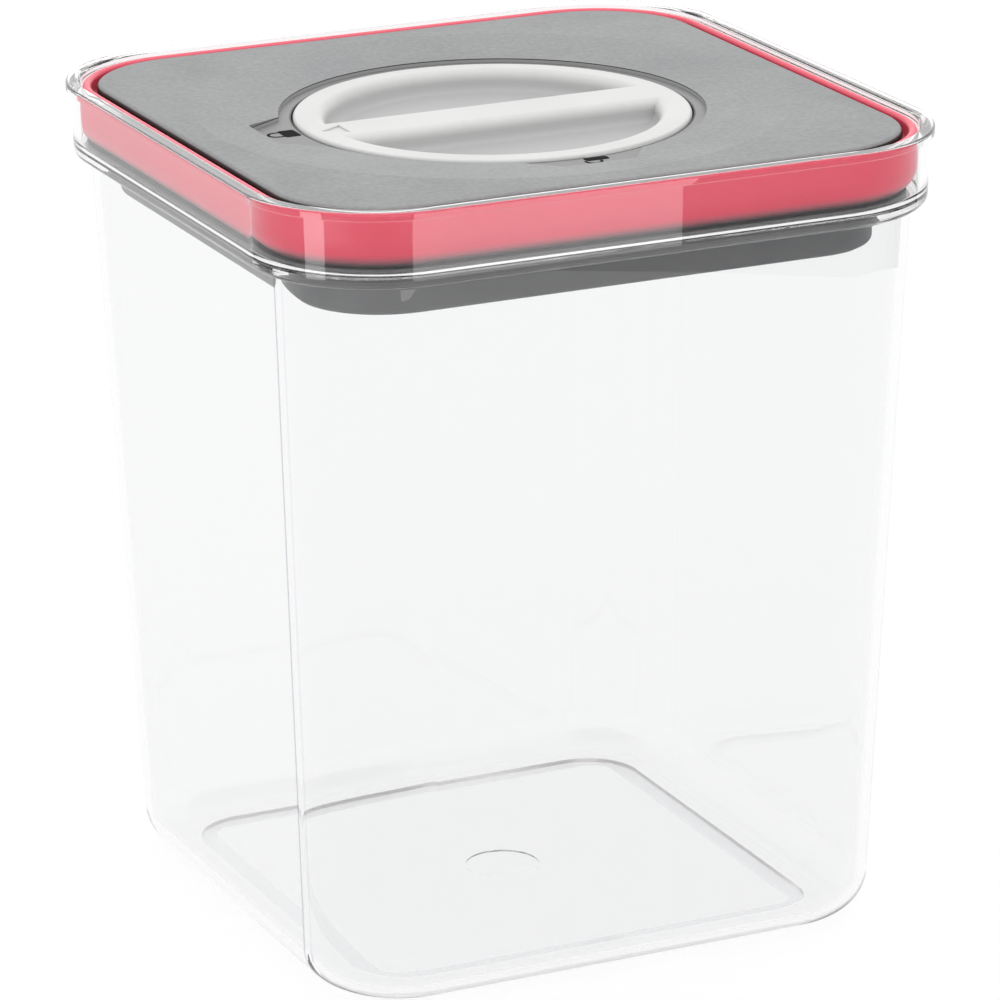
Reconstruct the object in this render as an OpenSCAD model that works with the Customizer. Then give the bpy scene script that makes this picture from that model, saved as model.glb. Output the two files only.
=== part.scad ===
// Square storage canister with a twist-to-seal lid.
// Millimetres, Z up. The origin is the middle of the base, on the surface it stands on.
// The knob is drawn as the lid is when it is locked: the grip bar lies along X.

/* [Container] */
// Width and depth over the bead of the rim
rim_w = 160; // [152:1:200]
// Height over the rim
height = 183; // [120:1:260]
// Radius of the rim's corners, seen from above
rim_corner_r = 31; // [28:0.5:34]
// How far the rim stands out beyond the body on each side
ledge_step = 5.8; // [5.4:0.1:6.4]
// Radius of the body's corners at the ledge, seen from above
body_corner_r = 28.7; // [27.5:0.1:31]
// How much the body narrows on each side from the ledge to the bottom
taper = 6; // [3:0.1:7]
// Wall thickness of the body
wall = 2.3; // [2:0.1:2.5]
// Depth from the rim down to the ledge that the lid rests on
rim_depth = 14.9; // [14.3:0.1:15.1]
// Radius of the rounded bottom edge
bottom_r = 9.7; // [6:0.1:10.3]

/* [Lid] */
// Space between the top plate and the rim, where the seal shows
seal_show = 3.5; // [3:0.1:4]
// How far the top plate lies below the rim when locked
plate_drop = 0.8; // [0.6:0.1:1.2]
// Gap between the plug and the wall of the body
plug_gap = 4.9; // [4.3:0.1:5.4]
// Radius of the plug's upright corners
plug_corner_r = 19; // [17:0.5:21]
// Depth of the plug's underside below the rim
plug_depth = 25.5; // [25.3:0.1:27]
// Wall thickness of the plug
plug_wall = 2.2; // [1.8:0.1:2.6]

/* [Knob] */
// Diameter of the knob
knob_d = 88.4; // [84:0.2:89]
// Width of the flat top of the grip bar
grip_w = 10.4; // [9:0.2:14]
// Depth of the finger hollows
hollow_depth = 4.8; // [4:0.1:5]
// Width of the flat border round the finger hollows
knob_border = 4.8; // [4:0.2:8]

/* [Sealing mechanism] */
// How far the top plate rises when the knob is turned from locked to open
lift = 2.2; // [1.6:0.1:2.4]
// Turn of the knob from locked to open, in degrees
turn = 90; // [80:1:90]
// Diameter of the follower pins that run in the cam slots
pin_d = 4; // [3.6:0.1:4.2]

/* [Hidden] */
$fn = 96;
overcut = 1;
overlap = 0.5;

// named clearances
seal_gap = 0.3;
run_gap = 0.05;
slot_gap = 0.15;
knob_gap = 0.35;
cam_gap = 0.5;

// container
rim_half = rim_w / 2;
rim_centre = rim_half - rim_corner_r;
rim_t = 3.5;
rim_wall_top = rim_half - 1;
rim_wall_low = rim_half - 1.4;
lip_r = 0.5;
bead_h = 2.6;
bead_flat = 1.9;
ledge_z = height - rim_depth;
ledge_t = 2.3;
ledge_under_z = ledge_z - ledge_t;
ledge_fillet = 2.2;
mouth_half = rim_half - rim_t;
mouth_draft = 0.2;
mouth_fillet = 2.2;
mouth_chamfer = 0.5;
body_top = rim_half - ledge_step;
body_bottom = body_top - taper;
body_centre = body_top - body_corner_r;
flare = 0.8;
body_slope = atan((body_top - body_bottom) / (ledge_under_z - bottom_r));
round_x = body_top - (bottom_r + (ledge_under_z - bottom_r) * sin(body_slope)) / cos(body_slope);
foot_inset = 3.7;
foot_half = round_x - foot_inset;
foot_corner_r = 13;
foot_h = 0.5;
gate_r = 8.5;
gate_h = 0.4;

// lid plate
plate_half = mouth_half - seal_show;
plate_top = height - plate_drop;
plate_t = 3.4;
plate_under = plate_top - plate_t;
plate_edge_r = 1.4;
dish_r = plate_half - 7;
dish_depth = 1.5;
step_depth = 1;
step_w = 3.2;
skirt_half = plate_half - 4;
skirt_t = 1.6;
skirt_h = 4.8;
rib_t = 1.6;
rib_h = 4;

// tab of the step at each padlock sign: half width and distance of its straight end; its flanks
// end a little inside the round corners
tab_half = 8.6;
tab_reach = 54.8;
tab_slant = 33;
tab_r = 1.5;
tab_blend = 0.02;

// knob
knob_r = knob_d / 2;
recess_r = knob_r + step_w;
recess_floor = plate_top - dish_depth - step_depth;
knob_proud = 0.7;
knob_top = recess_floor + knob_proud;
knob_skin = 1.7;
knob_edge_r = 0.9;
knob_under = knob_top - hollow_depth - knob_skin;
soft_r = hollow_depth / 2;
hollow_r = knob_r - knob_border;
core_t = 2;
core_l = 19;
core_at = 24.5;
arrow_at = 3;
arrow_l = 5.6;
arrow_half = 3.3;
arrow_h = 0.35;
hub_r = 11.95;
bore_r = hub_r + run_gap;
bore_wall = 4;
groove_z = 1.2;
groove_h = 1.8;
groove_t = 1.75;
pocket_r = knob_r + knob_gap;
glide_t = 0.7;
glide_w = 6.5;
pocket_floor = knob_under - glide_t;
pocket_floor_t = 2.2;
pocket_wall = 2.2;

// cam wheel
cam_r = 26.5;
cam_skin = 1.2;
cam_h = pin_d + 2 * slot_gap + lift + 2 * cam_skin;
cam_rise = 0.5;
cam_top = ledge_z + cam_rise;
cam_bottom = cam_top - cam_h;
pin_z = cam_top - cam_skin - slot_gap - pin_d / 2;
slot_depth = 4.5;
slot_steps = 6;
slot_step = turn / slot_steps;
slot_slope = atan(lift / (turn * PI / 180 * cam_r));
slot_overlap = 0.2;
gate_turn = 14;
stop_r = 0.5;
core_wall = 1.8;
core_h = 5;
screw_r = 1.45;
screw_at = 7;
screw_len = 10;
screw_hold = 3.6;
screw_head_r = 2.8;
screw_head_h = 1.8;
screw_sink = 0.2;
socket_w = 2.6;
socket_h = 1.1;

// plug
plug_half = body_top - wall - plug_gap;
plug_centre = plug_half - plug_corner_r;
plug_z = height - plug_depth;
flange_half = mouth_half - mouth_fillet - run_gap;
flange_t = 1.4;
flange_top = ledge_z + flange_t;
curb_h = 1.1;
cover_t = 1.6;
cover_edge_r = 1.2;
cover_lip_h = 0.4;
frame_z = plug_z + cover_t + cover_lip_h;
web_z = frame_z + 2;
web_t = 2;
collar_in = cam_r + cam_gap;
collar_t = 3;
post_inset = 3;
post_at = rim_centre - post_inset;
post_r = 4;
socket_wall = 2.2;
socket_r = post_r + socket_wall;
socket_top = plate_under - skirt_h;
peg_inset = 12;
peg_at = post_at * sqrt(2) - peg_inset;
peg_r = 3;

// gasket
gasket_in = skirt_half + seal_gap;
gasket_out = mouth_half - seal_gap;
barrel_r = 7;
barrel_z = flange_top + 6.2;
hollow_seal_r = 3;
hollow_seal_z = flange_top + 4.5;
lip_in = plate_half + 1.2;
lip_top = height - 2;

// A band with this cross-section run round a rounded square whose corners turn about
// (centre, centre). X of the cross-section is the distance from the middle plane.
module swept(centre) {
    for (quarter = [0:90:270]) rotate([0, 0, quarter]) {
        translate([0, centre, 0]) rotate([90, 0, 0]) linear_extrude(2 * centre) children();
        translate([centre, centre, 0]) rotate_extrude(angle = 90) translate([-centre, 0]) children();
    }
}

// The same, filled in the middle from z0 to z1
module filled(centre, z0, z1) {
    translate([-centre, -centre, z0]) cube([2 * centre, 2 * centre, z1 - z0]);
    swept(centre) children();
}

// Cross-section from x0 to x1 and z0 to z1
module strip(x0, x1, z0, z1) {
    translate([x0, z0]) square([x1 - x0, z1 - z0]);
}

// A rounded-square slab with plain sides
module slab(centre, half, z0, z1) {
    filled(centre, z0, z1) strip(centre, half, z0, z1);
}

module at_corners(distance) {
    for (x = [-distance, distance], y = [-distance, distance]) translate([x, y, 0]) children();
}

// Four straight ribs, from the middle outwards along X and Y
module cross_ribs(from, to, z, h) {
    for (quarter = [0:90:270]) rotate([0, 0, quarter])
        translate([from, -rib_t / 2, z]) cube([to - from, rib_t, h]);
}

// Cross-section of the body, drawn in by inset: slanted side and rounded bottom edge
module body_section(inset, top) {
    r = bottom_r - inset;
    reach = round_x + r * cos(body_slope);
    reach_z = bottom_r - r * sin(body_slope);
    polygon([[body_centre, inset], [round_x, inset], [round_x, bottom_r], [reach, reach_z],
             [reach + (top - reach_z) * tan(body_slope), top], [body_centre, top]]);
    translate([round_x, bottom_r]) circle(r);
}

// Cross-section of the rim: rounded bead on top, fillet at the ledge
module rim_section() {
    fillet_x = rim_wall_low - ledge_fillet;
    fillet_z = ledge_under_z + ledge_fillet;
    bead_z = height - bead_h;
    lip_x = rim_half - lip_r;
    lip_z = height - lip_r;
    polygon([[rim_centre, ledge_under_z], [fillet_x, ledge_under_z], [fillet_x, fillet_z],
             [rim_wall_low, fillet_z], [rim_wall_top, bead_z], [rim_half, height - bead_flat],
             [rim_half, lip_z], [lip_x, lip_z], [lip_x, height], [rim_centre, height]]);
    translate([fillet_x, fillet_z]) circle(ledge_fillet);
    translate([lip_x, lip_z]) circle(lip_r);
}

// Cross-section of the space inside the rim
module mouth_section() {
    fillet_x = mouth_half - mouth_fillet;
    fillet_z = ledge_z + mouth_fillet;
    lip_x = mouth_half + mouth_draft;
    polygon([[rim_centre, ledge_z], [fillet_x, ledge_z], [fillet_x, fillet_z],
             [mouth_half, fillet_z], [lip_x, height - mouth_chamfer],
             [lip_x + mouth_chamfer, height], [lip_x + mouth_chamfer, height + overcut],
             [rim_centre, height + overcut]]);
    translate([fillet_x, fillet_z]) circle(mouth_fillet);
}

// Clear box: slightly tapered body, ledge, wider rim, foot ring and the mark of the gate
module container() {
    inner_top = body_top - wall / cos(body_slope);
    seam_x = body_top - overlap;
    color([0.93, 0.95, 0.96]) difference() {
        union() {
            filled(body_centre, 0, ledge_z - overcut) body_section(0, ledge_z - overcut);
            filled(rim_centre, ledge_under_z, height) rim_section();
            swept(body_centre) polygon([[seam_x, ledge_under_z + overlap],
                [seam_x, ledge_under_z - flare], [body_top - 0.03, ledge_under_z - flare],
                [body_top + flare, ledge_under_z], [body_top + flare, ledge_under_z + overlap]]);
        }
        filled(body_centre, wall, ledge_z + overcut) body_section(wall, ledge_z + overcut);
        filled(body_centre, ledge_z - flare, ledge_z + overcut)
            polygon([[body_centre, ledge_z - flare], [inner_top, ledge_z - flare],
                     [inner_top + flare, ledge_z], [inner_top + flare, ledge_z + overcut],
                     [body_centre, ledge_z + overcut]]);
        filled(rim_centre, ledge_z, height + overcut) mouth_section();
        slab(foot_half - foot_corner_r, foot_half, -overcut, foot_h);
        translate([0, 0, foot_h - overcut]) cylinder(r = gate_r, h = overcut + gate_h);
    }
}

// Cross-section of the top plate, with its rounded top edge
module plate_section() {
    edge_x = plate_half - plate_edge_r;
    edge_z = plate_top - plate_edge_r;
    polygon([[rim_centre, plate_under], [plate_half, plate_under], [plate_half, edge_z],
             [edge_x, edge_z], [edge_x, plate_top], [rim_centre, plate_top]]);
    translate([edge_x, edge_z]) circle(plate_edge_r);
}

// Outline of a tab of the step, pointing along X: slanted flanks, straight end, round corners
module tab_outline() {
    centre_x = tab_reach - tab_r;
    centre_y = tab_half - tab_r * (1 - sin(tab_slant)) / cos(tab_slant);
    flank_x = centre_x + (tab_r - tab_blend) * sin(tab_slant);
    flank_y = centre_y + (tab_r - tab_blend) * cos(tab_slant);
    root_x = knob_r - step_w;
    root_y = flank_y + (flank_x - root_x) * tan(tab_slant);
    polygon([[root_x, -root_y], [flank_x, -flank_y], [centre_x, -centre_y], [tab_reach, -centre_y],
             [tab_reach, centre_y], [centre_x, centre_y], [flank_x, flank_y], [root_x, root_y]]);
    for (side = [-1, 1]) translate([centre_x, side * centre_y]) circle(tab_r);
}

// Top plate: shallow dish, step and pocket for the knob, guide posts and a skirt for the gasket
module lid_plate() {
    dish_floor = plate_top - dish_depth;
    cup_r = pocket_r + pocket_wall;
    cup_z = pocket_floor - pocket_floor_t;
    neck_z = cam_top + seal_gap;
    post_z = web_z + web_t + 1;
    color([0.64, 0.65, 0.65]) difference() {
        union() {
            filled(rim_centre, plate_under, plate_top) plate_section();
            translate([0, 0, cup_z]) cylinder(r = cup_r, h = plate_under + overlap - cup_z);
            translate([0, 0, neck_z])
                cylinder(r = bore_r + bore_wall, h = pocket_floor - overlap - neck_z);
            swept(rim_centre)
                strip(skirt_half - skirt_t, skirt_half, plate_under - skirt_h, plate_under + overlap);
            at_corners(post_at) translate([0, 0, post_z])
                cylinder(r = post_r, h = plate_under + overlap - post_z);
            cross_ribs(cup_r - 1, skirt_half - skirt_t / 2, plate_under - rib_h, rib_h + overlap);
        }
        rotate_extrude() polygon([[0, dish_floor], [recess_r, dish_floor], [dish_r, plate_top],
                                  [dish_r, plate_top + overcut], [0, plate_top + overcut]]);
        translate([0, 0, recess_floor]) {
            cylinder(r = recess_r, h = dish_depth + step_depth + overcut);
            for (a = [180, 270]) rotate([0, 0, a])
                linear_extrude(dish_depth + step_depth + overcut) tab_outline();
        }
        translate([0, 0, pocket_floor]) cylinder(r = pocket_r, h = plate_top - pocket_floor);
        translate([0, 0, cam_top]) cylinder(r = bore_r, h = pocket_floor - cam_top + overcut);
    }
}

// Cross-section of a finger hollow: its wall is an S of two quarter rounds that
// leaves the knob's top at the given edge
module soft_section(edge) {
    floor_z = knob_top - hollow_depth;
    mid_z = knob_top - soft_r;
    strip(0, edge - 2 * soft_r, floor_z, knob_top + overcut);
    strip(0, edge - soft_r, mid_z, knob_top + overcut);
    translate([edge - 2 * soft_r, mid_z]) circle(soft_r);
    difference() {
        strip(edge - soft_r, edge, mid_z, knob_top + overcut);
        translate([edge, mid_z]) circle(soft_r);
    }
}

// The finger hollow on the +Y side of the grip bar: a bowl cut by a channel along the bar
module finger_hollow() {
    intersection() {
        rotate_extrude() soft_section(hollow_r);
        translate([-knob_r, 0, 0]) rotate([90, 0, 90]) linear_extrude(knob_d)
            translate([knob_r, 0]) mirror([1, 0]) soft_section(knob_r - grip_w / 2);
    }
}

// Knob: disc with two finger hollows beside a grip bar, sunk arrow, hub below
module knob() {
    core_top = knob_top - core_t;
    core_z = knob_under - overcut;
    arrow_x = knob_r - arrow_at;
    color([0.93, 0.93, 0.92]) difference() {
        union() {
            rotate_extrude() {
                strip(0, knob_r, knob_under, knob_top - knob_edge_r);
                strip(0, knob_r - knob_edge_r, knob_under, knob_top);
                translate([knob_r - knob_edge_r, knob_top - knob_edge_r]) circle(knob_edge_r);
            }
            translate([0, 0, cam_top]) cylinder(r = hub_r, h = knob_under - cam_top + overlap);
        }
        finger_hollow();
        mirror([0, 1, 0]) finger_hollow();
        rotate_extrude() strip(hollow_r - 0.5, knob_r - 2, core_z, core_top);
        for (side = [-1, 1]) translate([side * core_at - core_l / 2, -grip_w / 2, core_z])
            cube([core_l, grip_w, core_top - core_z]);
        rotate_extrude()
            strip(hub_r - groove_t, hub_r + overcut, cam_top + groove_z, cam_top + groove_z + groove_h);
        for (third = [0:120:240]) rotate([0, 0, third]) translate([screw_at, 0, cam_top - overcut])
            cylinder(r = screw_r + run_gap, h = screw_hold + overcut);
        translate([-arrow_x, 0, knob_top - arrow_h]) linear_extrude(arrow_h + overcut)
            polygon([[0, 0], [arrow_l, -arrow_half], [arrow_l, arrow_half]]);
    }
}

// Ring of round section in the groove of the hub, against the bore of the pocket
module hub_seal_ring() {
    ring_r = groove_h / 2 - run_gap;
    color([0.15, 0.15, 0.16]) rotate_extrude()
        translate([hub_r - ring_r - run_gap, cam_top + groove_z + groove_h / 2]) circle(ring_r);
}

// Thin ring that the knob turns on
module glide_ring() {
    ring_in = hub_r + 1.5;
    color([0.9, 0.9, 0.86]) translate([0, 0, pocket_floor]) difference() {
        cylinder(r = ring_in + glide_w, h = glide_t);
        translate([0, 0, -overcut]) cylinder(r = ring_in, h = glide_t + 2 * overcut);
    }
}

// One cam slot: a chain of short boxes along the helix, then a level run to the gate that
// the pin came in through when the lid was put together
module cam_slot() {
    slot_h = pin_d + 2 * slot_gap;
    low_z = pin_z - lift;
    inner = cam_r - slot_depth;
    reach = slot_depth + overcut;
    half_step = cam_r * tan(slot_step / 2) + slot_overlap;
    half_gate = cam_r * tan(gate_turn / 2) + slot_overlap;
    for (i = [0:slot_steps - 1]) rotate([0, 0, -(i + 0.5) * slot_step])
        translate([inner, 0, pin_z - lift * (i + 0.5) / slot_steps]) rotate([slot_slope, 0, 0])
            translate([0, -half_step, -slot_h / 2]) cube([reach, 2 * half_step, slot_h]);
    translate([inner, 0, pin_z]) rotate([0, 90, 0]) cylinder(d = slot_h, h = reach);
    rotate([0, 0, -turn - gate_turn / 2])
        translate([inner, -half_gate, low_z - slot_h / 2]) cube([reach, 2 * half_gate, slot_h]);
    rotate([0, 0, -turn - gate_turn]) translate([inner, -slot_h / 2, low_z - slot_h / 2])
        cube([reach, slot_h, cam_top - low_z + slot_h]);
}

// Wheel on the hub with three helical slots for the follower pins, and a small bump in each
// slot that keeps the pin from its gate
module cam_wheel() {
    stop_z = pin_z - lift - pin_d / 2 - slot_gap;
    color([0.82, 0.83, 0.84]) difference() {
        translate([0, 0, cam_bottom]) cylinder(r = cam_r, h = cam_h);
        for (third = [0:120:240]) rotate([0, 0, third]) {
            cam_slot();
            translate([screw_at, 0, cam_bottom - overcut]) {
                cylinder(r = screw_head_r + 0.3, h = screw_head_h + screw_sink + overcut);
                cylinder(r = screw_r + slot_gap, h = cam_h + 2 * overcut);
            }
        }
        translate([0, 0, cam_bottom - overcut]) difference() {
            cylinder(r = cam_r - slot_depth - core_wall, h = core_h + overcut);
            cylinder(r = screw_at + screw_head_r + 2, h = core_h + overcut);
        }
    }
    color([0.82, 0.83, 0.84]) for (third = [0:120:240])
        rotate([0, 0, third - turn - gate_turn / 2])
            translate([cam_r - slot_depth - overlap, 0, stop_z])
                rotate([0, 90, 0]) cylinder(r = stop_r, h = slot_depth);
}

// Three screws that hold the cam wheel on the hub
module cam_screws() {
    color([0.75, 0.76, 0.78]) for (third = [0:120:240]) rotate([0, 0, third])
        translate([screw_at, 0, cam_bottom + screw_sink]) difference() {
            union() {
                cylinder(r = screw_head_r, h = screw_head_h);
                cylinder(r = screw_r, h = screw_len);
            }
            translate([0, 0, -overcut]) cylinder(d = socket_w, h = overcut + socket_h, $fn = 6);
        }
}

// Soft seal: hollow barrel between flange and plate, and a lip that stands in the rim
module gasket() {
    lip_r2 = (gasket_out - lip_in) / 2;
    color([0.87, 0.33, 0.36]) swept(rim_centre) difference() {
        union() {
            intersection() {
                strip(gasket_in, gasket_out, flange_top, barrel_z);
                translate([gasket_out - barrel_r, barrel_z]) circle(barrel_r);
            }
            strip(gasket_in, gasket_out, barrel_z, plate_under);
            strip(lip_in, gasket_out, plate_under - overlap, lip_top);
            translate([lip_in + lip_r2, lip_top]) circle(lip_r2);
        }
        translate([gasket_in - 0.1, hollow_seal_z]) circle(hollow_seal_r);
    }
}

// Plug frame: wall, flange that rests on the ledge, web, collar with the follower pins, sockets
module plug_frame() {
    tie = plug_half - overlap;
    color([0.36, 0.37, 0.38]) difference() {
        union() {
            swept(plug_centre) strip(plug_half - plug_wall, plug_half, frame_z, flange_top + curb_h);
            swept(plug_centre) strip(tie, flange_half, ledge_z, flange_top);
            slab(plug_centre, tie, web_z, web_z + web_t);
            translate([0, 0, web_z]) cylinder(r = collar_in + collar_t, h = ledge_z - web_z);
            at_corners(post_at) translate([0, 0, web_z + overlap])
                cylinder(r = socket_r, h = socket_top - web_z - overlap);
            cross_ribs(collar_in + 1, plug_half - 1, web_z + overlap, 5);
        }
        translate([0, 0, web_z - overcut])
            cylinder(r = collar_in, h = ledge_z - web_z + 2 * overcut);
        at_corners(post_at) translate([0, 0, web_z + web_t])
            cylinder(r = post_r + 2 * run_gap, h = socket_top - web_z);
        for (quarter = [45:90:315]) rotate([0, 0, quarter]) translate([peg_at, 0, web_z - overcut])
            cylinder(r = peg_r + run_gap, h = web_t + 2 * overcut);
    }
    color([0.36, 0.37, 0.38]) for (third = [0:120:240]) rotate([0, 0, third])
        translate([cam_r - slot_depth + 0.4, 0, pin_z]) rotate([0, 90, 0])
            cylinder(d = pin_d, h = collar_in - cam_r + slot_depth + 1);
}

// Cross-section of the plug cover, with its rounded lower edge
module cover_section() {
    strip(plug_centre, plug_half - cover_edge_r, plug_z, plug_z + cover_t);
    strip(plug_centre, plug_half, plug_z + cover_edge_r, plug_z + cover_t);
    intersection() {
        translate([plug_half - cover_edge_r, plug_z + cover_edge_r]) circle(cover_edge_r);
        strip(plug_centre, plug_half, plug_z, plug_z + cover_edge_r);
    }
}

// Cover that closes the plug from below, on four pegs
module plug_cover() {
    inner_z = plug_z + cover_t;
    color([0.38, 0.39, 0.4]) {
        filled(plug_centre, plug_z, inner_z) cover_section();
        swept(plug_centre)
            strip(plug_half - plug_wall, plug_half, inner_z - cover_lip_h / 2, frame_z);
        for (quarter = [45:90:315]) rotate([0, 0, quarter])
            translate([peg_at, 0, inner_z - overlap])
                cylinder(r = peg_r, h = web_z + web_t - inner_z);
    }
}

container();
lid_plate();
knob();
hub_seal_ring();
glide_ring();
cam_wheel();
cam_screws();
gasket();
plug_frame();
plug_cover();
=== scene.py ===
# %% [markdown]
# # A square storage canister in clear plastic
# The frame comes first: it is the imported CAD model, in metres, and every piece in it already has
# its place. Blender only dresses it, so the camera, the light and the finishes are what follows.

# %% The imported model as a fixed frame
import math

import bmesh
import bpy
from mathutils import Matrix, Vector


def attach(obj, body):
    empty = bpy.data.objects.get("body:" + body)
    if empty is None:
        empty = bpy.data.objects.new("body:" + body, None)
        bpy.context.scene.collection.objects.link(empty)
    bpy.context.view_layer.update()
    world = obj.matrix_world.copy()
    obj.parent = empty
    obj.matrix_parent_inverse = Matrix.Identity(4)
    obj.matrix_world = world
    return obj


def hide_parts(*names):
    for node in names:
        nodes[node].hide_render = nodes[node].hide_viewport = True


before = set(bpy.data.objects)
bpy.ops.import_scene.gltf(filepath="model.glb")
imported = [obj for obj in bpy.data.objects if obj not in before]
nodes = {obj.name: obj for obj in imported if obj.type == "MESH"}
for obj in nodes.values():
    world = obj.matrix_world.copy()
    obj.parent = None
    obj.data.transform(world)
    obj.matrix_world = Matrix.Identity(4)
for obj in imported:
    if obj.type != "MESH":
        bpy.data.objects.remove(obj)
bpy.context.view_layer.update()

MM = 0.001
scene = bpy.context.scene
print("nodes:", sorted(nodes))

# %% [markdown]
# ## Camera
# The canister was photographed with a long lens from the front left, a little above the lid. A
# camera matched to the corners of the rim gives the angle, the distance and the lens. It is made
# before anything else, because every later choice is judged through it.

# %% Camera
AZIMUTH = math.radians(-24.681824)
ELEVATION = math.radians(18.045721)
ROLL = math.radians(-0.619813)
LENS_MM = 204.2286
CAMERA_AT = Vector((-508.578, -1108.444, 487.057)) * MM

back = Vector((math.sin(AZIMUTH) * math.cos(ELEVATION), -math.cos(AZIMUTH) * math.cos(ELEVATION),
               math.sin(ELEVATION)))
level_right = Vector((math.cos(AZIMUTH), math.sin(AZIMUTH), 0.0))
level_up = back.cross(level_right)
right = level_right * math.cos(ROLL) + level_up * math.sin(ROLL)
up = level_up * math.cos(ROLL) - level_right * math.sin(ROLL)

camera = bpy.data.objects.new("camera", bpy.data.cameras.new("camera"))
camera.data.sensor_width = 36.0
camera.data.lens = LENS_MM
camera.data.clip_start = 0.05
camera.data.clip_end = 50.0
camera.matrix_world = Matrix((
    (right.x, up.x, back.x, CAMERA_AT.x),
    (right.y, up.y, back.y, CAMERA_AT.y),
    (right.z, up.z, back.z, CAMERA_AT.z),
    (0.0, 0.0, 0.0, 1.0)))
scene.collection.objects.link(camera)
scene.camera = camera

# %% [markdown]
# ## Node helpers
# Shader trees are easier to read when a node, its settings and its links are made in one call.

# %% Node helpers
def add_node(tree, kind, inputs=(), **settings):
    """A new node with its properties set and its inputs given a value or linked to a socket."""
    node = tree.nodes.new(kind)
    for name, value in settings.items():
        setattr(node, name, value)
    for name, value in dict(inputs).items():
        if isinstance(value, bpy.types.NodeSocket):
            tree.links.new(value, node.inputs[name])
        else:
            node.inputs[name].default_value = value
    return node


def maths(tree, operation, *values):
    """The output of a Math node."""
    return add_node(tree, "ShaderNodeMath", enumerate(values), operation=operation).outputs[0]


def blend_colour(tree, factor, a, b, kind="MIX"):
    """The colour output of a Mix node between a and b."""
    mix = tree.nodes.new("ShaderNodeMix")
    mix.data_type = "RGBA"
    mix.blend_type = kind
    for socket, value in ((mix.inputs[0], factor), (mix.inputs[6], a), (mix.inputs[7], b)):
        if isinstance(value, bpy.types.NodeSocket):
            tree.links.new(value, socket)
        else:
            socket.default_value = value
    return mix.outputs[2]


def map_range(tree, value, low, high, to_low, to_high):
    """value, stretched from low..high to to_low..to_high and held there."""
    node = add_node(tree, "ShaderNodeMapRange", {
        "Value": value, "From Min": low, "From Max": high, "To Min": to_low, "To Max": to_high})
    return node.outputs["Result"]


def srgb(red, green, blue):
    """A colour given as 0 to 255 in sRGB, as the linear values that Blender wants."""
    def linear(v):
        v = v / 255.0
        return v / 12.92 if v <= 0.04045 else ((v + 0.055) / 1.055) ** 2.4
    return (linear(red), linear(green), linear(blue), 1.0)


def grey(tone):
    return srgb(tone, tone, tone)


def glow_finish(name, strength):
    """A finish that only glows, in white light."""
    finish = bpy.data.materials.new(name)
    finish.use_nodes = True
    finish.node_tree.nodes.clear()
    light = add_node(finish.node_tree, "ShaderNodeEmission",
                     {"Color": (1, 1, 1, 1), "Strength": strength})
    add_node(finish.node_tree, "ShaderNodeOutputMaterial", {"Surface": light.outputs[0]})
    return finish


# %% [markdown]
# ## Studio
# The real one stood on a white sweep, lit mainly from above and behind. That can be made with
# lamps, but lamps near the object leave grey patches on the floor. Here the light comes from the
# world itself, which is so far away that the floor stays even: its strength changes with the
# direction. What the surfaces mirror is brightest straight behind the canister, which whitens the
# top of the clear rim. The camera, and what is seen through the clear walls, meet plain white.

# %% World
BRIGHTEST_MIRRORED = (0.41, 0.88, 0.25)
BRIGHTEST_LIGHT = (0.25, 0.5, 0.8)

scene.view_settings.view_transform = "Standard"
world = bpy.data.worlds.new("studio")
scene.world = world
world.use_nodes = True
wt = world.node_tree
wt.nodes.clear()


def sky_towards(direction, low, high, sharpness):
    """A value that is high where the ray points along direction and low where it points away."""
    ray = add_node(wt, "ShaderNodeTexCoord").outputs["Generated"]
    along = add_node(wt, "ShaderNodeVectorMath", {0: ray, 1: Vector(direction).normalized()},
                     operation="DOT_PRODUCT").outputs["Value"]
    share = map_range(wt, along, -1.0, 1.0, 0.0, 1.0)
    return map_range(wt, maths(wt, "POWER", share, sharpness), 0.0, 1.0, low, high)


paths = add_node(wt, "ShaderNodeLightPath")
seen = maths(wt, "MAXIMUM", paths.outputs["Is Camera Ray"], paths.outputs["Is Transmission Ray"])
white_sky = add_node(wt, "ShaderNodeBackground", {"Color": (1, 1, 1, 1), "Strength": 1.0})
mirror_sky = add_node(wt, "ShaderNodeBackground", {
    "Color": (1, 1, 1, 1), "Strength": sky_towards(BRIGHTEST_MIRRORED, 0.65, 1.7, 6.0)})
light_sky = add_node(wt, "ShaderNodeBackground", {
    "Color": (1, 1, 1, 1), "Strength": sky_towards(BRIGHTEST_LIGHT, 0.85, 1.2, 1.5)})
bounced = add_node(wt, "ShaderNodeMixShader", {
    0: paths.outputs["Is Glossy Ray"], 1: light_sky.outputs[0], 2: mirror_sky.outputs[0]})
sky_mix = add_node(wt, "ShaderNodeMixShader", {
    0: seen, 1: bounced.outputs[0], 2: white_sky.outputs[0]})
add_node(wt, "ShaderNodeOutputWorld", {"Surface": sky_mix.outputs[0]})

# %% [markdown]
# ## Floor
# A pale floor takes the object's soft shadow. Part of its white is a glow that only the camera
# and mirrors see, so the shadow stays faint and the object gets no extra light from it.

# %% Floor
FLOOR_HALF = 4.0
FLOOR_GLOW = 0.8
FLOOR_Z = -0.0003


def staged(name, size):
    """A square grid mesh in the scene that is part of the studio."""
    bm = bmesh.new()
    bmesh.ops.create_grid(bm, x_segments=1, y_segments=1, size=size)
    mesh = bpy.data.meshes.new(name)
    bm.to_mesh(mesh)
    bm.free()
    obj = bpy.data.objects.new(name, mesh)
    scene.collection.objects.link(obj)
    return obj


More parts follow.
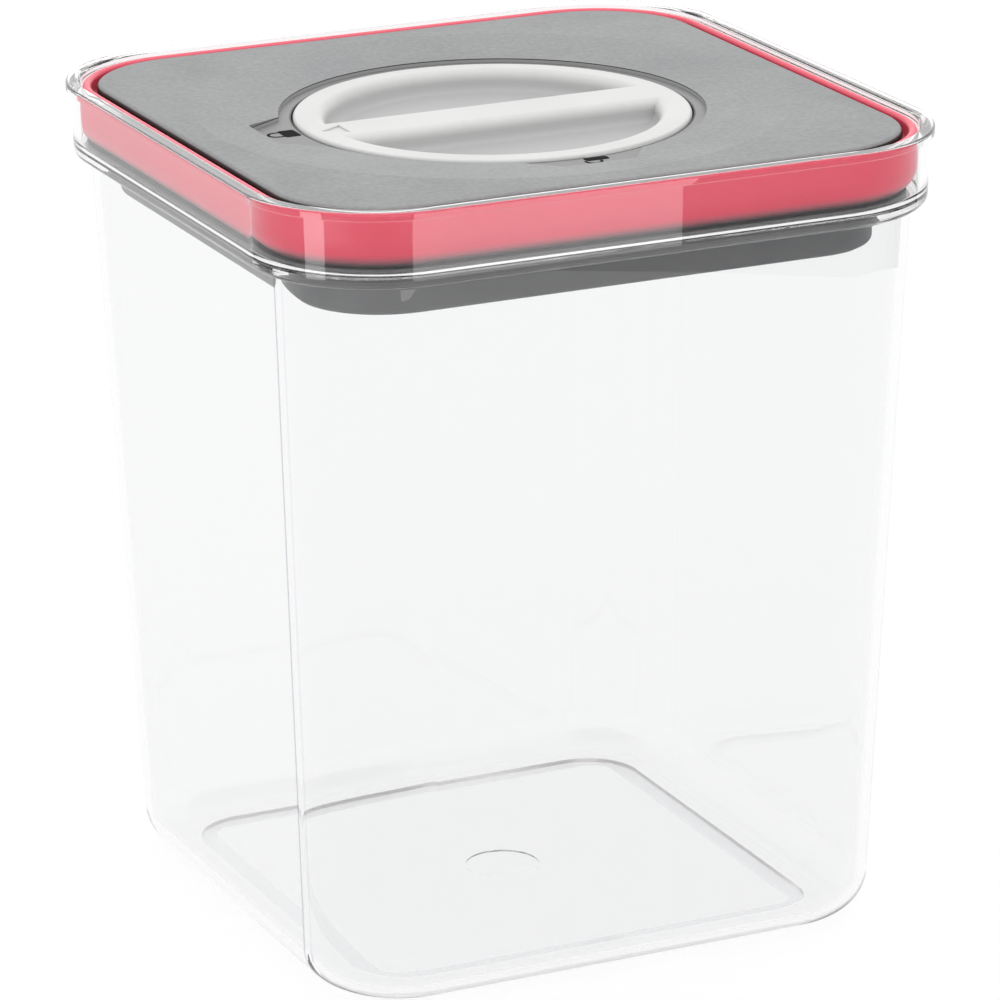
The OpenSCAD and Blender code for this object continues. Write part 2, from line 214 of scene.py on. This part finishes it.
floor = staged("floor", FLOOR_HALF)
floor.location.z = FLOOR_Z
floor_finish = bpy.data.materials.new("white_sweep")
floor_finish.use_nodes = True
ft = floor_finish.node_tree
ft.nodes.clear()
floor_paths = add_node(ft, "ShaderNodeLightPath")
glow_share = maths(ft, "MULTIPLY_ADD", floor_paths.outputs["Is Diffuse Ray"], -FLOOR_GLOW,
                   FLOOR_GLOW)
matt = add_node(ft, "ShaderNodeBsdfDiffuse", {"Color": (0.9, 0.9, 0.9, 1)})
glow = add_node(ft, "ShaderNodeEmission", {"Color": (1, 1, 1, 1), "Strength": 1.04})
floor_mix = add_node(ft, "ShaderNodeMixShader", {0: glow_share, 1: matt.outputs[0],
                                                 2: glow.outputs[0]})
add_node(ft, "ShaderNodeOutputMaterial", {"Surface": floor_mix.outputs[0]})
floor.data.materials.append(floor_finish)

# %% [markdown]
# ## Bright cards
# The pale patches on the red seal are the rim's own mirror image of two white cards in front of
# the canister, one broad and one narrow. Each card is a glowing sheet that only mirrors see, so
# that it adds the patch and no light. A larger sheet overhead is mirrored by the lid's top.

# %% Bright cards
CARDS = {
    "broad_card": ((-0.031, -0.450, 0.018), (0.197, -0.450, 0.018), 0.15, 3.1),
    "strip_card": ((-0.507, -0.086, 0.010), (-0.442, -0.325, 0.010), 0.16, 4.4),
}
SOFT_BOX_HALF, SOFT_BOX_GLOW = 0.8, 3.0


def card(name, lower_left, lower_right, height, strength):
    """A glowing upright sheet over the line between two points, seen by mirrors only."""
    obj = staged(name, 0.5)
    along = Vector(lower_right) - Vector(lower_left)
    bm = bmesh.new()
    bm.from_mesh(obj.data)
    turn = Matrix((along.normalized(), Vector((0, 0, 1)), along.normalized().cross((0, 0, 1))))
    bmesh.ops.scale(bm, vec=(along.length, height, 1.0), verts=bm.verts)
    bmesh.ops.rotate(bm, cent=(0, 0, 0), matrix=turn.transposed(), verts=bm.verts)
    middle = (Vector(lower_left) + Vector(lower_right)) / 2 + Vector((0, 0, height / 2))
    bmesh.ops.translate(bm, vec=middle, verts=bm.verts)
    bm.to_mesh(obj.data)
    bm.free()
    obj.data.materials.append(glow_finish(name + "_glow", strength))
    seen_by_mirrors_only(obj)


def seen_by_mirrors_only(obj):
    for ray in ("camera", "diffuse", "transmission", "shadow", "volume_scatter"):
        setattr(obj, "visible_" + ray, False)


for name, (lower_left, lower_right, height, strength) in CARDS.items():
    card(name, lower_left, lower_right, height, strength)
soft_box = staged("soft_box", SOFT_BOX_HALF)
soft_box.location = (0.0, 0.1, 1.2)
soft_box.data.materials.append(glow_finish("soft_box_glow", SOFT_BOX_GLOW))
seen_by_mirrors_only(soft_box)

# %% [markdown]
# ## Dark cloth
# Between the patches the seal is a deep red, because there the rim mirrors something dark. A sheet
# of nearly black cloth stands in an arc round the front. One upright edge is spun about the
# canister, and it starts where the left wall no longer mirrors it.

# %% Dark cloth
CLOTH_FROM, CLOTH_TURN = math.radians(130), math.radians(235)
CLOTH_AWAY, CLOTH_H, CLOTH_GLOW = 0.52, 0.3, 0.1

bm = bmesh.new()
upright = [bm.verts.new((CLOTH_AWAY, 0.0, 0.0)), bm.verts.new((CLOTH_AWAY, 0.0, CLOTH_H))]
edge = bm.edges.new(upright)
bmesh.ops.rotate(bm, cent=(0, 0, 0), matrix=Matrix.Rotation(CLOTH_FROM, 3, "Z"), verts=bm.verts)
bmesh.ops.spin(bm, geom=[edge, *upright], cent=(0, 0, 0), axis=(0, 0, 1), angle=CLOTH_TURN,
               steps=60, use_merge=False)
cloth_mesh = bpy.data.meshes.new("dark_flag")
bm.to_mesh(cloth_mesh)
bm.free()
dark_flag = bpy.data.objects.new("dark_flag", cloth_mesh)
scene.collection.objects.link(dark_flag)
seen_by_mirrors_only(dark_flag)
cloth_mesh.materials.append(glow_finish("black_cloth", CLOTH_GLOW))

# %% [markdown]
# ## Surface effects as node groups
# Every moulded piece shares the same small effects: the fine grain of the mould, and a slow
# change of tone and of gloss from handling. Each is a node group with its own inputs, built
# once, so that each material only chooses the strength. A group puts out masks and heights, and
# the shader itself stays in the material.

# %% Node groups
def new_group(name, inputs, outputs):
    """An empty shader node group with float inputs {name: default} and outputs {name: type}."""
    group = bpy.data.node_groups.new(name, "ShaderNodeTree")
    for label, default in inputs.items():
        socket = group.interface.new_socket(label, in_out="INPUT", socket_type="NodeSocketFloat")
        socket.default_value = default
    for label in outputs:
        group.interface.new_socket(label, in_out="OUTPUT", socket_type="NodeSocketFloat")
    start = group.nodes.new("NodeGroupInput")
    end = group.nodes.new("NodeGroupOutput")
    return group, start, end


def mould_grain_group():
    """Fine grain of an eroded mould: a height for bump, a fleck mask and a slow cloud mask."""
    group, start, end = new_group("mould_grain", {"Grain Size": 0.0004, "Cloud Size": 0.03},
                                  ("Height", "Fleck", "Cloud"))
    place = add_node(group, "ShaderNodeTexCoord").outputs["Object"]
    per_grain = maths(group, "DIVIDE", 1.0, start.outputs["Grain Size"])
    per_cloud = maths(group, "DIVIDE", 1.0, start.outputs["Cloud Size"])
    fine = add_node(group, "ShaderNodeTexNoise", {"Vector": place, "Scale": per_grain,
                                                  "Detail": 2.0, "Roughness": 0.6})
    coarse_scale = maths(group, "MULTIPLY", per_grain, 0.31)
    coarse = add_node(group, "ShaderNodeTexNoise", {"Vector": place, "Scale": coarse_scale,
                                                    "Detail": 3.0, "Roughness": 0.55})
    slow = add_node(group, "ShaderNodeTexNoise", {"Vector": place, "Scale": per_cloud,
                                                  "Detail": 3.0, "Roughness": 0.5})
    height = maths(group, "ADD", fine.outputs["Fac"], coarse.outputs["Fac"])
    group.links.new(height, end.inputs["Height"])
    for source, label in ((coarse, "Fleck"), (slow, "Cloud")):
        mask = map_range(group, source.outputs["Fac"], 0.3, 0.7, 0.0, 1.0)
        group.links.new(mask, end.inputs[label])
    return group


def handling_group():
    """Marks of handling: smudge is where fingers dull the gloss, scratch is fine hair lines."""
    group, start, end = new_group("handling", {"Smudge Size": 0.02, "Scratch Size": 0.004},
                                  ("Smudge", "Scratch"))
    place = add_node(group, "ShaderNodeTexCoord").outputs["Object"]
    per_smudge = maths(group, "DIVIDE", 1.0, start.outputs["Smudge Size"])
    per_scratch = maths(group, "DIVIDE", 1.0, start.outputs["Scratch Size"])
    smudge = add_node(group, "ShaderNodeTexNoise", {"Vector": place, "Scale": per_smudge,
                                                    "Detail": 4.0, "Distortion": 0.6})
    stretched = add_node(group, "ShaderNodeMapping", {"Vector": place,
                                                      "Rotation": (0.4, 0.9, 0.6),
                                                      "Scale": (1.0, 0.06, 0.06)})
    hair = add_node(group, "ShaderNodeTexNoise", {"Vector": stretched.outputs[0],
                                                  "Scale": per_scratch, "Detail": 1.0})
    group.links.new(map_range(group, smudge.outputs["Fac"], 0.42, 0.72, 0.0, 1.0),
                    end.inputs["Smudge"])
    group.links.new(map_range(group, hair.outputs["Fac"], 0.68, 0.74, 0.0, 1.0),
                    end.inputs["Scratch"])
    return group


def place_group():
    """Where a point is on the object: its height, and how far inside a rounded square it lies."""
    group, start, end = new_group("place_on_piece", {"Half": 0.07, "Centre": 0.05},
                                  ("Height", "Inside"))
    place = add_node(group, "ShaderNodeTexCoord").outputs["Object"]
    part = add_node(group, "ShaderNodeSeparateXYZ", {0: place})
    past = [maths(group, "SUBTRACT", maths(group, "ABSOLUTE", part.outputs[axis]),
                  start.outputs["Centre"]) for axis in ("X", "Y")]
    spoke = add_node(group, "ShaderNodeCombineXYZ", {
        axis: maths(group, "MAXIMUM", over, 0.0) for axis, over in zip("XY", past)})
    reach = add_node(group, "ShaderNodeVectorMath", {0: spoke.outputs[0]}, operation="LENGTH")
    radius = maths(group, "SUBTRACT", start.outputs["Half"], start.outputs["Centre"])
    inside = maths(group, "SUBTRACT", radius, reach.outputs["Value"])
    group.links.new(inside, end.inputs["Inside"])
    group.links.new(part.outputs["Z"], end.inputs["Height"])
    return group


GRAIN = mould_grain_group()
HANDLING = handling_group()
PLACE = place_group()


def use_group(tree, group, **values):
    """The group as a node in tree, with its inputs set."""
    node = tree.nodes.new("ShaderNodeGroup")
    node.node_tree = group
    for name, value in values.items():
        node.inputs[name.replace("_", " ")].default_value = value
    return node


# %% [markdown]
# ## Moulded plastics
# The plate, the knob, the plug and the hidden wheel are all injection mouldings. They differ in
# colour, gloss and grain, so one function makes each finish from those numbers.

# %% Moulded finish
FLECK_SWING = 0.12


def moulded(name, dark, light, roughness, grain_size, grain_height, cloud_size=0.03,
            fleck=0.3, smudge=0.05, ior=1.5, specular=0.5):
    """A moulded plastic whose tone moves between dark and light, with grain and handling."""
    finish = bpy.data.materials.new(name)
    finish.use_nodes = True
    tree = finish.node_tree
    shader = tree.nodes["Principled BSDF"]
    grain = use_group(tree, GRAIN, Grain_Size=grain_size, Cloud_Size=cloud_size)
    hands = use_group(tree, HANDLING)
    tone = blend_colour(tree, grain.outputs["Cloud"], dark, light)
    swing = FLECK_SWING * fleck
    speck = map_range(tree, grain.outputs["Fleck"], 0.0, 1.0, 1.0 - swing, 1.0 + swing)
    tint = add_node(tree, "ShaderNodeCombineColor", {"Red": speck, "Green": speck, "Blue": speck})
    colour = blend_colour(tree, 1.0, tone, tint.outputs[0], "MULTIPLY")
    tree.links.new(colour, shader.inputs["Base Color"])
    gloss = maths(tree, "MULTIPLY_ADD", hands.outputs["Smudge"], smudge, roughness)
    tree.links.new(gloss, shader.inputs["Roughness"])
    bump = add_node(tree, "ShaderNodeBump", {"Strength": 1.0, "Distance": grain_height,
                                             "Height": grain.outputs["Height"]})
    tree.links.new(bump.outputs[0], shader.inputs["Normal"])
    shader.inputs["IOR"].default_value = ior
    shader.inputs["Specular IOR Level"].default_value = specular
    return finish


def tint_where(finish, mask_from, low, high, colour, **values):
    """Blend the finish to colour where an output of PLACE goes from low to high."""
    tree = finish.node_tree
    shader = tree.nodes["Principled BSDF"]
    base = shader.inputs["Base Color"].links[0].from_socket
    at = use_group(tree, PLACE, **values)
    mask = add_node(tree, "ShaderNodeMapRange", {
        "Value": at.outputs[mask_from], "From Min": low, "From Max": high},
        interpolation_type="SMOOTHSTEP").outputs["Result"]
    tree.links.new(blend_colour(tree, mask, base, colour), shader.inputs["Base Color"])


plate_finish = moulded("matt_grey_plastic", srgb(132, 133, 134), srgb(140, 141, 141), 0.46,
                       0.00035, 0.00004, fleck=0.9, specular=0.22)
knob_finish = moulded("white_plastic", srgb(211, 211, 210), srgb(217, 217, 216), 0.36,
                      0.0005, 0.000006, fleck=0.1, specular=0.12)
plug_finish = moulded("dark_grey_plastic", srgb(92, 93, 94), srgb(100, 101, 102), 0.55,
                      0.0005, 0.00001, fleck=0.25, specular=0.35)
wheel_finish = moulded("pale_slick_plastic", srgb(205, 208, 210), srgb(214, 216, 218), 0.3,
                       0.0004, 0.000006, fleck=0.1)
glide_finish = moulded("ivory_slick_plastic", srgb(222, 220, 208), srgb(230, 228, 218), 0.25,
                       0.0004, 0.000004, fleck=0.1)
rubber_finish = moulded("black_rubber", srgb(34, 34, 36), srgb(42, 42, 44), 0.55,
                        0.0006, 0.00001, fleck=0.4)

# %% [markdown]
# ## Painted shade and light by place
# The finger hollows of the knob are painted grey below their rim, as painted shade for the shade
# and lost reflection in them beside the polished top. The plate's outer edge stands in a deep gap
# and is painted near black there as painted shade, and so is the plate round the knob's foot. The
# low step round the knob gets a painted shade along its upper edge and a painted highlight below.
# Each tone lies between two heights, or two distances from the edge, in millimetres.

# %% Painted shade and light by place
HOLLOW_SHADE_FROM, HOLLOW_SHADE_FULL = 179.9, 176.2
STEP_SHADE_AND_HIGHLIGHT = ((180.69, 180.66, 70), (180.52, 180.40, 168), (179.78, 179.74, 138))

# Painted shade: the knob's finger hollows turn grey below their rim.
tint_where(knob_finish, "Height", HOLLOW_SHADE_FROM * MM, HOLLOW_SHADE_FULL * MM, grey(186))
# Painted shade: the plate's outer edge turns near black in the gap by the rim.
tint_where(plate_finish, "Inside", 0.5 * MM, 0.2 * MM, grey(20), Half=73.0 * MM, Centre=49.0 * MM)
# Painted shade along the step's upper edge round the knob, and a painted highlight on the wall
# below it.
for low, high, tone in STEP_SHADE_AND_HIGHLIGHT:
    tint_where(plate_finish, "Height", low * MM, high * MM, grey(tone))
# Painted shade: a near-black ring on the plate round the knob's foot.
tint_where(plate_finish, "Inside", -0.2 * MM, 0.2 * MM, grey(40), Half=44.9 * MM, Centre=0.0)

# %% [markdown]
# ## Steel screws
# The three screws in the wheel are hidden when the lid is shut. Brushed steel needs a metallic
# shader and a roughness that changes along fine turned lines.

# %% Steel
steel_finish = bpy.data.materials.new("turned_steel")
steel_finish.use_nodes = True
st = steel_finish.node_tree
steel_shader = st.nodes["Principled BSDF"]
steel_shader.inputs["Metallic"].default_value = 1.0
steel_marks = use_group(st, HANDLING, Smudge_Size=0.002, Scratch_Size=0.001)
steel_tone = blend_colour(st, steel_marks.outputs["Smudge"], srgb(176, 178, 181),
                          srgb(196, 197, 199))
st.links.new(steel_tone, steel_shader.inputs["Base Color"])
st.links.new(map_range(st, steel_marks.outputs["Scratch"], 0.0, 1.0, 0.28, 0.42),
             steel_shader.inputs["Roughness"])

# %% [markdown]
# ## Red silicone seal
# The red of silicone looks flat and even behind the clear rim, so its tone gets only a faint cloud.
# The lower edge is painted a grey shade, for the shade of the ledge it stands in.

# %% Silicone
seal_finish = moulded("red_silicone", srgb(236, 70, 95), srgb(240, 75, 101), 0.34,
                      0.0008, 0.000008, cloud_size=0.05, fleck=0.12, ior=1.42)
# Painted shade: the seal's lower edge turns grey under the ledge.
tint_where(seal_finish, "Height", 173.4 * MM, 170.0 * MM, srgb(92, 80, 84))

# %% [markdown]
# ## Clear plastic
# The box is moulded in a clear, hard plastic. It bends light like glass, so the walls draw
# themselves in fine darker lines where the eye looks along them. Rays from lamps pass straight
# through, because a path tracer finds little light behind real refraction. The corner nearest
# the camera gets a painted shade line where its round meets the flat side wall, for the dark line
# that bent light draws there: a darker tone in a narrow strip of the outer skin, which leans as
# the wall does.

# %% Clear plastic
CLEAR_IOR = 1.5
CLEAR_TONE, REFRACTION_SHADE_TONE = (0.945, 0.947, 0.95, 1), (0.36, 0.38, 0.46, 1)
LINE_LOW, LINE_HIGH, LINE_END = (9.7, 45.2), (165.8, 51.2), 165.0
LINE_CORE, LINE_REACH, SKIN_FROM = 0.15, 0.55, 22.0

clear_finish = bpy.data.materials.new("clear_plastic")
clear_finish.use_nodes = True
ct = clear_finish.node_tree
clear_shader = ct.nodes["Principled BSDF"]
clear_shader.inputs["Transmission Weight"].default_value = 1.0
clear_shader.inputs["IOR"].default_value = CLEAR_IOR
clear_marks = use_group(ct, HANDLING, Smudge_Size=0.03, Scratch_Size=0.006)
ct.links.new(map_range(ct, clear_marks.outputs["Smudge"], 0.0, 1.0, 0.0, 0.012),
             clear_shader.inputs["Roughness"])
place = add_node(ct, "ShaderNodeTexCoord").outputs["Object"]
at = add_node(ct, "ShaderNodeSeparateXYZ", {0: place})
# Painted shade: a dark hair line on the outer skin where the front corner's round meets the side
# wall.
line_at = map_range(ct, at.outputs["Z"], LINE_LOW[0] * MM, LINE_HIGH[0] * MM, LINE_LOW[1] * MM,
                    LINE_HIGH[1] * MM)
off_line = maths(ct, "ABSOLUTE", maths(ct, "ADD", at.outputs["Y"], line_at))
on_line = map_range(ct, off_line, LINE_CORE * MM, LINE_REACH * MM, 1.0, 0.0)
on_skin = maths(ct, "LESS_THAN", maths(ct, "ADD", at.outputs["X"], line_at), -SKIN_FROM * MM)
below_rim = maths(ct, "LESS_THAN", at.outputs["Z"], LINE_END * MM)
line = maths(ct, "MULTIPLY", maths(ct, "MULTIPLY", on_line, on_skin), below_rim)
ct.links.new(blend_colour(ct, line, CLEAR_TONE, REFRACTION_SHADE_TONE), clear_shader.inputs["Base Color"])
lamp_paths = add_node(ct, "ShaderNodeLightPath")
let_through = add_node(ct, "ShaderNodeBsdfTransparent", {"Color": (0.985, 0.985, 0.985, 1)})
clear_mix = add_node(ct, "ShaderNodeMixShader", {0: lamp_paths.outputs["Is Shadow Ray"],
                                                 1: clear_shader.outputs[0],
                                                 2: let_through.outputs[0]})
ct.links.new(clear_mix.outputs[0], ct.nodes["Material Output"].inputs["Surface"])

# %% [markdown]
# ## The clear box
# A clear moulding shows every facet of its mesh, because light bends at each of them. The CAD
# node is right in size, but its round corners are made of flat strips. So the box is swept again,
# finer: its cross-section is a chain of corners with their own radii, and a rounded square is
# extruded from one level of the chain to the next. One change is made to it: the corners of the
# real body keep one radius from top to bottom, so their centre moves in as the walls lean in.

# %% Cross-section of the box
RIM_CENTRE = 49.0
BODY_CORNER_R = 23.0
BODY_TOP, LEDGE_UNDER = 74.2, 165.8
SLOPE = math.atan(6.0 / (LEDGE_UNDER - 9.7))
WALL = 2.3


def body_half(z):
    """Half the width of the body's outside at height z."""
    return BODY_TOP - (LEDGE_UNDER - z) * math.tan(SLOPE)


def body_centre(z):
    """Where the body's upright corners turn, for the height z."""
    return body_half(min(max(z, 9.7), LEDGE_UNDER)) - BODY_CORNER_R


def rim_centre(z):
    """The rim's corners all turn about one point."""
    return RIM_CENTRE


def inner_half(z):
    return body_half(z) - WALL / math.cos(SLOPE)


# half width, height, radius of the corner of the chain, and what its plan corners turn about
OUTSIDE_TO_INSIDE = [
    (50.0, 0.0, 0.0, body_centre),
    (body_half(0.0), 0.0, 9.7, body_centre),
    (body_half(165.0), 165.0, 0.3, body_centre),
    (75.0, 165.8, 0.2, body_centre),
    (78.6, 165.8, 2.2, rim_centre),
    (79.0, 181.0, 0.1, rim_centre),
    (80.0, 181.15, 0.15, rim_centre),
    (80.0, 183.0, 0.5, rim_centre),
    (77.2, 183.0, 0.25, rim_centre),
    (76.7, 182.5, 0.25, rim_centre),
    (76.5, 168.1, 2.2, rim_centre),
    (inner_half(167.3) + 0.8, 168.1, 0.25, body_centre),
    (inner_half(167.3), 167.3, 0.25, body_centre),
    (inner_half(2.3), 2.3, 7.4, body_centre),
    (50.0, 2.3, 0.0, body_centre),
]


def rounded_chain(chain, fine=10):
    """The chain with each corner that has a radius replaced by the points of its arc."""
    points = [chain[0]]
    for before, here, after in zip(chain, chain[1:], chain[2:]):
        at = Vector(here[:2])
        back, ahead = (Vector(before[:2]) - at).normalized(), (Vector(after[:2]) - at).normalized()
        bend = math.pi - back.angle(ahead)
        cut = here[2] * math.tan(bend / 2)
        start, end = at + back * cut, at + ahead * cut
        middle = at + (back + ahead).normalized() * (here[2] / math.cos(bend / 2))
        steps = max(2, round(fine * math.sqrt(here[2]) * bend / 1.6))
        for i in range(steps + 1):
            spoke = (start - middle).normalized().slerp((end - middle).normalized(), i / steps)
            points.append((*(middle + spoke * here[2]), here[2], here[3]))
    return points + [chain[-1]]


box_levels = rounded_chain(OUTSIDE_TO_INSIDE)
print("levels of the box:", len(box_levels))


# %% Sweep the box
CORNER_STEPS = 30


def rounded_square(bm, half, centre, z):
    """Verts and edges of a rounded square: a square face with its corners bevelled, made open."""
    bmesh.ops.create_grid(bm, x_segments=1, y_segments=1, size=half,
                          matrix=Matrix.Translation((0, 0, z)))
    bmesh.ops.bevel(bm, geom=bm.verts[:], offset=half - centre, offset_type="OFFSET",
                    segments=CORNER_STEPS, profile=0.5, affect="VERTICES", material=-1)
    bmesh.ops.delete(bm, geom=bm.faces[:], context="FACES_ONLY")
    return bm.edges[:]


def next_level(bm, edges, was, now):
    """Extrude a rounded square from (half, centre, z) to the next and return its new edges."""
    made = bmesh.ops.extrude_edge_only(bm, edges=edges)["geom"]
    verts = [v for v in made if isinstance(v, bmesh.types.BMVert)]
    size = (now[0] - now[1]) / (was[0] - was[1])
    for x in (-1, 1):
        for y in (-1, 1):
            quarter = [v for v in verts if v.co.x * x > 0 and v.co.y * y > 0]
            corner = Vector((x * was[1], y * was[1], 0))
            bmesh.ops.scale(bm, vec=(size, size, 1), space=Matrix.Translation(-corner),
                            verts=quarter)
            step = now[1] - was[1]
            bmesh.ops.translate(bm, vec=(x * step, y * step, now[2] - was[2]), verts=quarter)
    new = set(verts)
    return [e for e in made if isinstance(e, bmesh.types.BMEdge)
            and e.verts[0] in new and e.verts[1] in new]


bm = bmesh.new()
levels = [(half, centre(z), z) for half, z, _, centre in box_levels]
first_edges = rounded_square(bm, *levels[0])
ring_size = len(first_edges)
edges = first_edges
for was, now in zip(levels, levels[1:]):
    edges = next_level(bm, edges, was, now)
bmesh.ops.edgeloop_fill(bm, edges=edges)
print("one level has", ring_size, "edges; the box has", len(bm.faces), "faces")

# %% [markdown]
# ## Underside of the box
# The foot is a flat band; inside it the underside is half a millimetre higher, and a shallow round
# dimple marks where the plastic was let into the mould. The fill is bridged from the foot's edge
# to the dimple's, so it stays flat.

# %% Foot and gate mark
FOOT_HALF, FOOT_CORNER_R, FOOT_H = 54.8, 13.0, 0.5
GATE_R, GATE_H = 8.5, 0.4
SHARP_ABOVE = math.radians(35)

foot_in = (FOOT_HALF, FOOT_HALF - FOOT_CORNER_R, 0.0)
edges = next_level(bm, first_edges, levels[0], foot_in)
edges = next_level(bm, edges, foot_in, (*foot_in[:2], FOOT_H))
gate = bmesh.ops.create_circle(bm, cap_ends=False, segments=ring_size, radius=GATE_R,
                               matrix=Matrix.Translation((0, 0, FOOT_H)))
gate_edges = list({e for v in gate["verts"] for e in v.link_edges})
bmesh.ops.bridge_loops(bm, edges=edges + gate_edges)
deeper = bmesh.ops.extrude_edge_only(bm, edges=gate_edges)["geom"]
rise = [v for v in deeper if isinstance(v, bmesh.types.BMVert)]
bmesh.ops.translate(bm, vec=(0, 0, GATE_H), verts=rise)
top = set(rise)
bmesh.ops.edgeloop_fill(bm, edges=[e for e in deeper if isinstance(e, bmesh.types.BMEdge)
                                   and e.verts[0] in top and e.verts[1] in top])


def finish_piece(bm, name, body, finish, weigh=True):
    """Turn a bmesh in millimetres into a piece of the object that rides on a body."""
    bmesh.ops.scale(bm, vec=(MM, MM, MM), verts=bm.verts)
    bmesh.ops.recalc_face_normals(bm, faces=bm.faces)
    mesh = bpy.data.meshes.new(name)
    bm.to_mesh(mesh)
    bm.free()
    for face in mesh.polygons:
        face.use_smooth = True
    mesh.set_sharp_from_angle(angle=SHARP_ABOVE)
    mesh.materials.append(finish)
    obj = bpy.data.objects.new(name, mesh)
    scene.collection.objects.link(obj)
    if weigh:
        even = obj.modifiers.new("flat_faces_lead", "WEIGHTED_NORMAL")
        even.weight = 100
        even.keep_sharp = True
    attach(obj, body)
    low, high = (Vector([f(v.co[i] for v in mesh.vertices) for i in range(3)]) for f in (min, max))
    print(name, len(mesh.polygons), "faces, from", [round(v, 4) for v in low],
          "to", [round(v, 4) for v in high])
    return obj


open_edges = sum(1 for e in bm.edges if len(e.link_faces) != 2)
print("open edges of the box:", open_edges)
clear_box = finish_piece(bm, "clear_box", "container", clear_finish)
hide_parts("container")

# %% [markdown]
# ## Padlock signs
# Two small printed signs on the plate say where the knob's arrow stands when the lid is locked
# and when it is open. Both are a plain padlock: a rounded block and a bow, whose free end hangs
# in the air on the open one. They could be painted by the plate's material, but a thin raised print
# keeps crisp edges in every view.

# %% Padlock signs
SIGN_Z, SIGN_T = 179.70, 0.06
BOW_R, BOW_T = 2.1, 0.62
BLOCK_W, BLOCK_CORNER_R, BOW_IN_BLOCK = 5.6, 0.7, 0.1
FREE_LEG = 0.1


def padlock(name, turn, at, depth, leg, shift):
    """A flat padlock: its bow points along -Y, shifted along X, before the whole is turned."""
    bm = bmesh.new()
    bmesh.ops.create_grid(bm, x_segments=1, y_segments=1, size=0.5)
    bmesh.ops.scale(bm, vec=(BLOCK_W, depth, 1), verts=bm.verts)
    bmesh.ops.bevel(bm, geom=bm.verts[:], offset=BLOCK_CORNER_R, offset_type="OFFSET", segments=5,
                    profile=0.5, affect="VERTICES", material=-1)
    block = set(bm.verts)
    start_y = BOW_IN_BLOCK - depth / 2
    band = [bm.verts.new((-BOW_R + BOW_T, start_y, 0)), bm.verts.new((-BOW_R, start_y, 0))]
    up = bmesh.ops.extrude_edge_only(bm, edges=[bm.edges.new(band)])["geom"]
    bmesh.ops.translate(bm, vec=(0, -leg, 0),
                        verts=[v for v in up if isinstance(v, bmesh.types.BMVert)])
    turn_y = start_y - leg
    end = [e for e in up if isinstance(e, bmesh.types.BMEdge)
           and all(abs(v.co.y - turn_y) < 1e-4 for v in e.verts)]
    bow = bmesh.ops.spin(bm, geom=end + list(end[0].verts), cent=(0, turn_y, 0), axis=(0, 0, 1),
                         angle=math.pi, steps=14, use_merge=False)["geom_last"]
    bow_end = [e for e in bow if isinstance(e, bmesh.types.BMEdge)]
    down = bmesh.ops.extrude_edge_only(bm, edges=bow_end)["geom"]
    bmesh.ops.translate(bm, vec=(0, FREE_LEG if shift else leg, 0),
                        verts=[v for v in down if isinstance(v, bmesh.types.BMVert)])
    bmesh.ops.translate(bm, vec=(shift, 0, 0), verts=[v for v in bm.verts if v not in block])
    bmesh.ops.remove_doubles(bm, verts=bm.verts, dist=1e-4)
    raised = bmesh.ops.extrude_face_region(bm, geom=bm.faces[:])["geom"]
    bmesh.ops.translate(bm, vec=(0, 0, SIGN_T),
                        verts=[v for v in raised if isinstance(v, bmesh.types.BMVert)])
    bmesh.ops.rotate(bm, cent=(0, 0, 0), matrix=Matrix.Rotation(turn, 3, "Z"), verts=bm.verts)
    bmesh.ops.translate(bm, vec=(*at, SIGN_Z), verts=bm.verts)
    return finish_piece(bm, name, "plate", ink_finish, weigh=False)


ink_finish = moulded("black_print", srgb(24, 24, 25), srgb(34, 34, 35), 0.8, 0.0003, 0.000002,
                     fleck=0.3, specular=0.05)
padlock("sign_locked", math.radians(-90), (-47.1, 3.8), 3.8, 1.3, 0.0)
padlock("sign_open", 0.0, (3.2, -46.2), 2.4, 0.5, -1.4)

# %% [markdown]
# ## Finishes on the CAD pieces
# The CAD pieces keep their shapes. Each only gets its finish in its material slot.

# %% Dress the CAD pieces
FINISHES = {
    "lid_plate": plate_finish,
    "knob": knob_finish,
    "hub_seal_ring": rubber_finish,
    "glide_ring": glide_finish,
    "cam_wheel": wheel_finish,
    "cam_screws": steel_finish,
    "gasket": seal_finish,
    "plug_frame": plug_finish,
    "plug_cover": plug_finish,
}
for name, finish in FINISHES.items():
    mesh = nodes[name].data
    mesh.materials.clear()
    mesh.materials.append(finish)
    print(name, len(mesh.polygons), "triangles")

# Light crosses many clear walls on its way.
BOUNCES = 48
scene.cycles.max_bounces = BOUNCES
scene.cycles.transmission_bounces = BOUNCES
scene.cycles.glossy_bounces = BOUNCES
scene.cycles.transparent_max_bounces = 16
